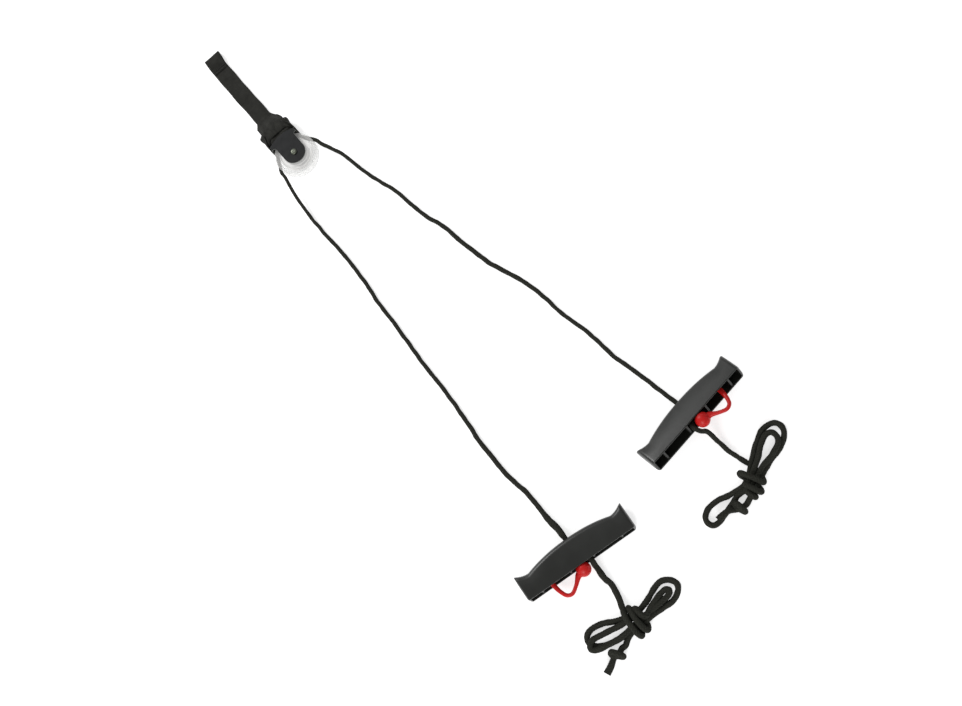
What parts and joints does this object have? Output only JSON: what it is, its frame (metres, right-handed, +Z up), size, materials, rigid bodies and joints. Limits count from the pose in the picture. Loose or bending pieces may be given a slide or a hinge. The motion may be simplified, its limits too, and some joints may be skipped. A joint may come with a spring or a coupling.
{
  "type": "over-door shoulder exercise pulley",
  "caption": "Webbing door strap holding a clear pulley sheave in a steel bracket, with a cord over it to T-handles that lock on the cord with ball plugs.",
  "frame": {"origin": "on the sheave's axle, in the flat face of the rear rivet head that rests on the table", "axes": "+Z up along the axle, +Y along the door strap away from the handles, +X to the right when the strap points away"},
  "size_m": [0.309, 0.8279, 0.0284],
  "materials": {
    "webbing": "woven polyester webbing, black",
    "thread": "black sewing thread",
    "rod": "plain dowel",
    "painted_steel": "black paint, worn bright along the edges",
    "bright_steel": "plated, dull",
    "sheave_plastic": "clear to milky white",
    "cord": "soft braided cord, black",
    "handle_plastic": "satin black moulding",
    "plug_elastomer": "satin red elastomer"
  },
  "bodies": {
    "strap": {"strap_webbing": "webbing", "hem_stitch": "thread", "door_stop_rod": "rod"},
    "hitch": {"strap_hitch": "webbing"},
    "block": {"pulley_bracket": "painted_steel", "axle_rivet": "bright_steel", "axle_bush": "bright_steel", "washer_front": "bright_steel", "washer_rear": "bright_steel", "cord_over_sheave": "cord"},
    "sheave": {"sheave": "sheave_plastic"},
    "cord_left": {"cord_run_left": "cord"},
    "cord_right": {"cord_run_right": "cord"},
    "grip_left": {"handle_left": "handle_plastic", "plug_anchor_left": "plug_elastomer", "plug_tail_left": "plug_elastomer"},
    "grip_right": {"handle_right": "handle_plastic", "plug_anchor_right": "plug_elastomer", "plug_tail_right": "plug_elastomer"},
    "plug_left": {"plug_ball_left": "plug_elastomer"},
    "plug_right": {"plug_ball_right": "plug_elastomer"},
    "tail_left": {"cord_tail_left": "cord", "cord_hank_left": "cord", "cord_end_left": "cord"},
    "tail_right": {"cord_tail_right": "cord", "cord_hank_right": "cord", "cord_end_right": "cord"}
  },
  "joints": [
    {"name": "strap_fold", "type": "hinge", "parent": "strap", "child": "hitch", "pos_m": [0, 0.07, 0.0014], "axis": [1, 0, 0], "range_deg": [-90, 90], "deforming": ["strap_hitch"]},
    {"name": "block_swing", "type": "hinge", "parent": "hitch", "child": "block", "pos_m": [0, 0.0266, 0.0122], "axis": [0, 0, 1], "range_deg": [-20, 20], "deforming": ["strap_hitch"]},
    {"name": "sheave_spin", "type": "hinge", "parent": "block", "child": "sheave", "pos_m": [0, 0, 0.0122], "axis": [0, 0, 1], "range_deg": [-785, 785]},
    {"name": "travel_left", "type": "slide", "parent": "block", "child": "cord_left", "axis": [-0.0586, -0.9983, 0], "range_m": [-0.3, 0.3], "deforming": ["cord_run_left"]},
    {"name": "travel_right", "type": "slide", "parent": "block", "child": "cord_right", "axis": [0.1992, -0.98, 0], "range_m": [-0.3, 0.3], "deforming": ["cord_run_right"]},
    {"name": "swivel_left", "type": "hinge", "parent": "cord_left", "child": "grip_left", "pos_m": [-0.0513, -0.5253, 0.0089], "axis": [-0.1097, -0.994, 0], "range_deg": [-180, 180]},
    {"name": "swivel_right", "type": "hinge", "parent": "cord_right", "child": "grip_right", "pos_m": [0.1225, -0.4978, 0.0063], "axis": [0.1183, -0.8986, 0.4226], "range_deg": [-180, 180]},
    {"name": "plug_pull_left", "type": "slide", "parent": "grip_left", "child": "plug_left", "axis": [-0.1097, -0.994, 0], "range_m": [0, 0.012], "deforming": ["plug_tail_left"]},
    {"name": "plug_pull_right", "type": "slide", "parent": "grip_right", "child": "plug_right", "axis": [0.1183, -0.8986, 0.4226], "range_m": [0, 0.012], "deforming": ["plug_tail_right"]},
    {"name": "adjust_left", "type": "slide", "parent": "grip_left", "child": "tail_left", "axis": [-0.1097, -0.994, 0], "range_m": [-0.02, 0.15], "deforming": ["cord_tail_left"]},
    {"name": "adjust_right", "type": "slide", "parent": "grip_right", "child": "tail_right", "axis": [0.1305, -0.9914, 0], "range_m": [-0.02, 0.15], "deforming": ["cord_tail_right"]}
  ],
  "couplings": [
    {"joint": "travel_right", "follows": "travel_left", "ratio": -1},
    {"joint": "sheave_spin", "follows": "travel_left", "rad_per_m": 45.455}
  ]
}
